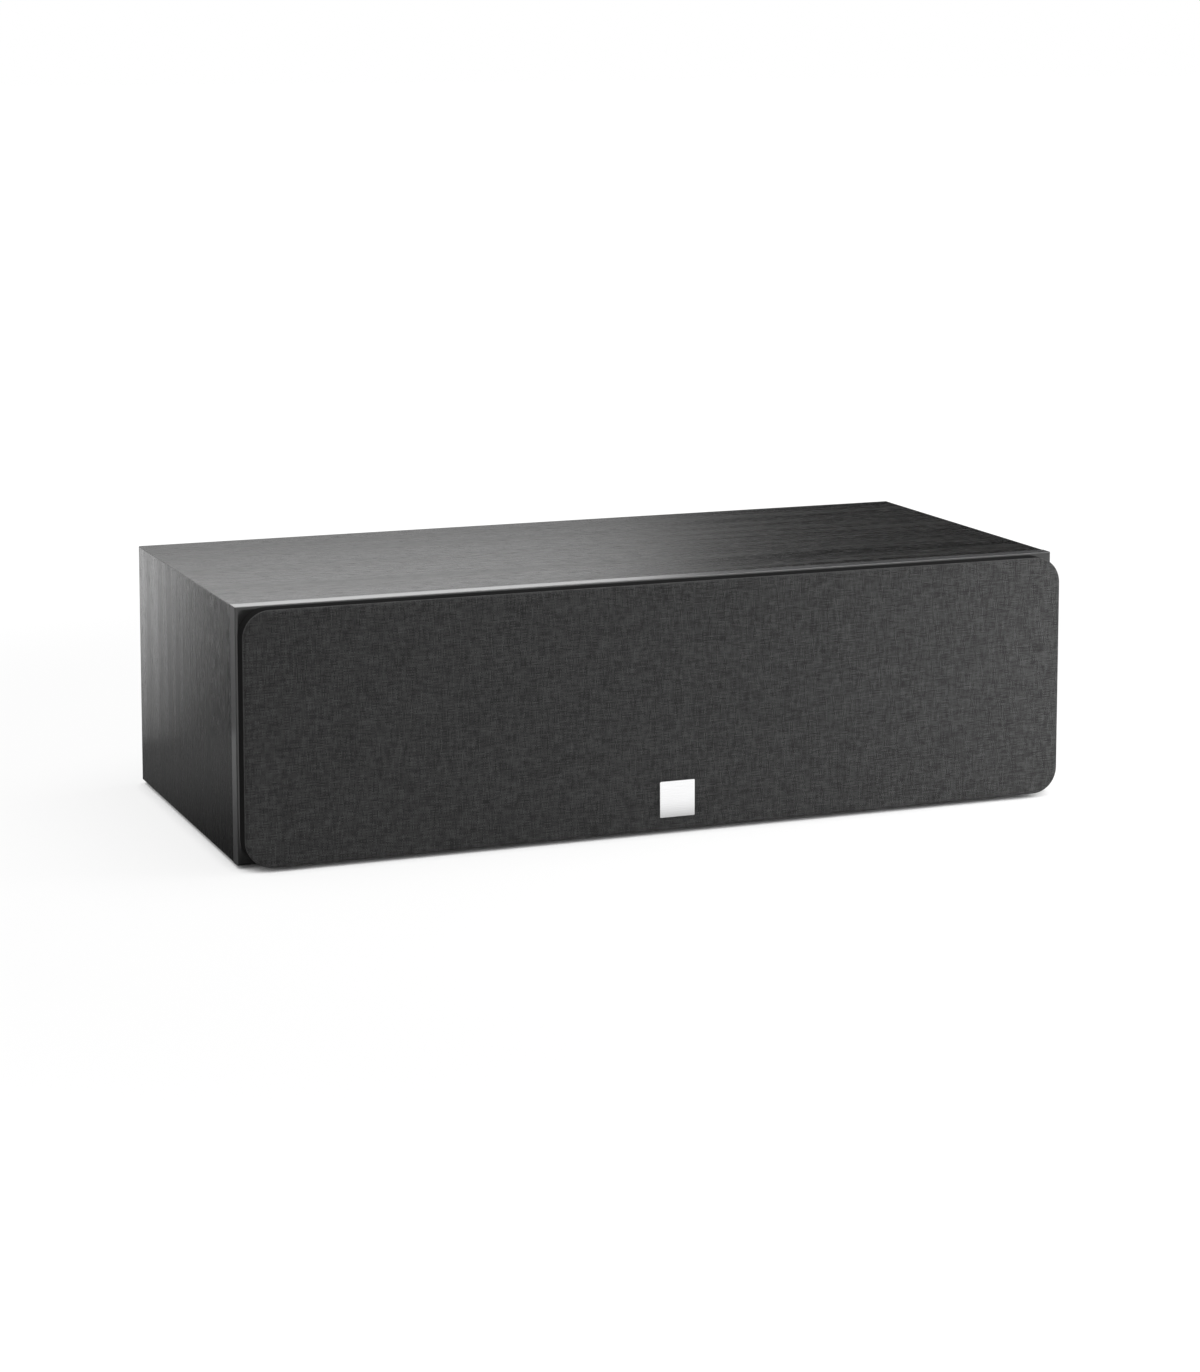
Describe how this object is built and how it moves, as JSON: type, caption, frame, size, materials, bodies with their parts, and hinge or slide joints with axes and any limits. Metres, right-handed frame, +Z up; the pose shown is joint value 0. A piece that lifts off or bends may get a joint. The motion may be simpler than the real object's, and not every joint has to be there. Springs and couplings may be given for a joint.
{
  "type": "centre channel loudspeaker",
  "caption": "Wide, low loudspeaker box in black wood-grain vinyl with a full-front pull-off cloth grille, cone drivers, a dome tweeter, rear ports and binding posts.",
  "frame": {"origin": "middle of the whole in plan, on the surface that the feet stand on", "axes": "+Z up, +X to the listener's right, the grille faces -Y"},
  "size_m": [0.558, 0.2608, 0.162],
  "materials": {
    "ash_vinyl": "black wood-grain vinyl, satin",
    "baffle_paint": "satin dark grey paint",
    "rear_board": "matte black board",
    "grille_cloth": "woven melange cloth",
    "frame_plastic": "moulded, fine texture",
    "badge_metal": "brushed",
    "foot_rubber": "matte",
    "surround_rubber": "satin",
    "cone_pulp": "fibre pulp",
    "spider_cloth": "impregnated weave",
    "basket_metal": "black coated",
    "plate_steel": "zinc plated",
    "ferrite": "sintered, dark",
    "coil_copper": "enamelled wire",
    "screw_black": "black oxide",
    "faceplate_plastic": "fine satin",
    "dome_cloth": "coated silk",
    "port_plastic": "smooth",
    "cup_plastic": "fine texture",
    "post_brass": "gold plated",
    "nut_red": "clear red cap",
    "nut_black": "clear black cap",
    "board_laminate": "resin board",
    "nylon": "natural nylon",
    "film_capacitor": "wrapped film",
    "resistor_ceramic": "cast block",
    "wadding_fibre": "polyester fleece",
    "lead_sleeve": "soft sleeve"
  },
  "bodies": {
    "cabinet": {"cabinet_top": "ash_vinyl", "cabinet_bottom": "ash_vinyl", "cabinet_left_side": "ash_vinyl", "cabinet_right_side": "ash_vinyl", "rear_panel": "rear_board", "front_baffle": "baffle_paint", "feet": "foot_rubber", "grille_sockets": "foot_rubber", "tweeter_faceplate": "faceplate_plastic", "tweeter_dome": "dome_cloth", "tweeter_voice_coil": "coil_copper", "tweeter_top_plate": "plate_steel", "tweeter_magnet": "ferrite", "tweeter_yoke": "plate_steel", "tweeter_screws": "screw_black", "port_left": "port_plastic", "port_right": "port_plastic", "terminal_cup": "cup_plastic", "terminal_screws": "screw_black", "terminal_post_red": "post_brass", "terminal_post_black": "post_brass", "terminal_lock_nuts": "post_brass", "crossover_board": "board_laminate", "crossover_spacers": "nylon", "crossover_low_coil": "coil_copper", "crossover_high_coil": "coil_copper", "crossover_capacitors": "film_capacitor", "crossover_resistors": "resistor_ceramic", "wadding_left": "wadding_fibre", "wadding_right": "wadding_fibre", "input_leads": "lead_sleeve", "woofer_leads": "lead_sleeve", "tweeter_lead": "lead_sleeve", "woofer_left_basket": "basket_metal", "woofer_left_surround": "surround_rubber", "woofer_left_spider": "spider_cloth", "woofer_left_top_plate": "plate_steel", "woofer_left_magnet": "ferrite", "woofer_left_yoke": "plate_steel", "woofer_left_screws": "screw_black", "woofer_right_basket": "basket_metal", "woofer_right_surround": "surround_rubber", "woofer_right_spider": "spider_cloth", "woofer_right_top_plate": "plate_steel", "woofer_right_magnet": "ferrite", "woofer_right_yoke": "plate_steel", "woofer_right_screws": "screw_black"},
    "grille": {"grille_frame": "frame_plastic", "grille_cloth": "grille_cloth", "grille_badge": "badge_metal"},
    "washer_red": {"terminal_washer_red": "post_brass"},
    "washer_black": {"terminal_washer_black": "post_brass"},
    "nut_red": {"terminal_nut_red": "nut_red"},
    "nut_black": {"terminal_nut_black": "nut_black"},
    "cone_left": {"woofer_left_cone": "cone_pulp", "woofer_left_dust_cap": "cone_pulp", "woofer_left_voice_coil": "coil_copper"},
    "cone_right": {"woofer_right_cone": "cone_pulp", "woofer_right_dust_cap": "cone_pulp", "woofer_right_voice_coil": "coil_copper"}
  },
  "joints": [
    {"name": "grille_pull", "type": "slide", "parent": "cabinet", "child": "grille", "axis": [0, -1, 0], "range_m": [0, 0.12]},
    {"name": "cone_left_travel", "type": "slide", "parent": "cabinet", "child": "cone_left", "axis": [0, -1, 0], "range_m": [-0.0035, 0.0035], "stiffness_N_per_m": 900, "deforming": ["woofer_left_surround", "woofer_left_spider"]},
    {"name": "cone_right_travel", "type": "slide", "parent": "cabinet", "child": "cone_right", "axis": [0, -1, 0], "range_m": [-0.0035, 0.0035], "stiffness_N_per_m": 900, "deforming": ["woofer_right_surround", "woofer_right_spider"]},
    {"name": "washer_red_lift", "type": "slide", "parent": "cabinet", "child": "washer_red", "axis": [0, 1, 0], "range_m": [0, 0.003]},
    {"name": "nut_red_turn", "type": "hinge", "parent": "washer_red", "child": "nut_red", "pos_m": [-0.016, 0.10643, 0.082], "axis": [0, 1, 0], "range_deg": [0, 1080]},
    {"name": "washer_black_lift", "type": "slide", "parent": "cabinet", "child": "washer_black", "axis": [0, 1, 0], "range_m": [0, 0.003]},
    {"name": "nut_black_turn", "type": "hinge", "parent": "washer_black", "child": "nut_black", "pos_m": [0.016, 0.10643, 0.082], "axis": [0, 1, 0], "range_deg": [0, 1080]}
  ],
  "couplings": [
    {"joint": "nut_red_turn", "follows": "washer_red_lift", "rad_per_m": 6283.2},
    {"joint": "nut_black_turn", "follows": "washer_black_lift", "rad_per_m": 6283.2}
  ]
}
